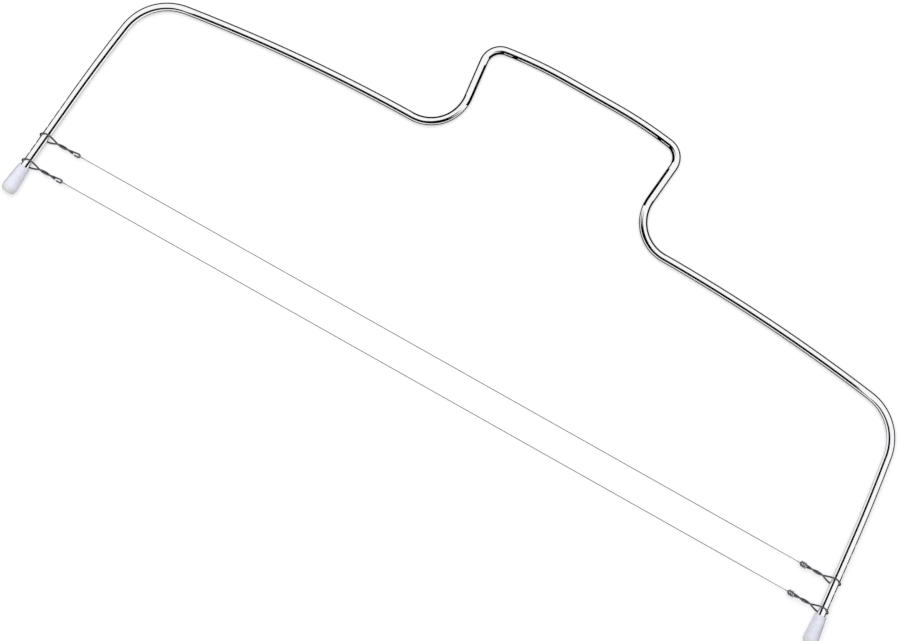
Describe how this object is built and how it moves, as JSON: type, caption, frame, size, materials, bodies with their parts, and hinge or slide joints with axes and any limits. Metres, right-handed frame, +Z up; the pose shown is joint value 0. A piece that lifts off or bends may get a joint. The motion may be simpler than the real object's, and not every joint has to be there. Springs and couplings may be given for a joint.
{
  "type": "cake leveler",
  "caption": "Bent steel rod leveler with a raised handle, soft feet and two taut cutting wires that hook into notches at chosen heights.",
  "frame": {"origin": "middle of the object's outline, on the surface that it lies on", "axes": "+X along the cutting wires to the right, +Y from the capped feet towards the handle, +Z up from the table; the rod's own plane leans 0.57 degrees down towards the handle, because it lies on its thicker caps and on the handle"},
  "size_m": [0.3326, 0.134, 0.0056],
  "materials": {
    "polished_rod": "bright polished drawn rod",
    "milky_cap": "moulded translucent milky plastic",
    "hook_wire": "dull drawn spring wire",
    "cutting_wire": "bright drawn stainless wire"
  },
  "bodies": {
    "frame": {"frame": "polished_rod", "left_cap": "milky_cap", "right_cap": "milky_cap"},
    "upper_wire": {"upper_cutting_wire": "cutting_wire", "upper_left_hook": "hook_wire", "upper_right_hook": "hook_wire"},
    "lower_wire": {"lower_cutting_wire": "cutting_wire", "lower_left_hook": "hook_wire", "lower_right_hook": "hook_wire"}
  },
  "joints": [
    {"name": "upper_wire_height", "type": "slide", "parent": "frame", "child": "upper_wire", "axis": [0, 0.9999, -0.01], "range_m": [0, 0.01472]},
    {"name": "lower_wire_height", "type": "slide", "parent": "frame", "child": "lower_wire", "axis": [0, 0.9999, -0.01], "range_m": [0, 0.00736]}
  ]
}
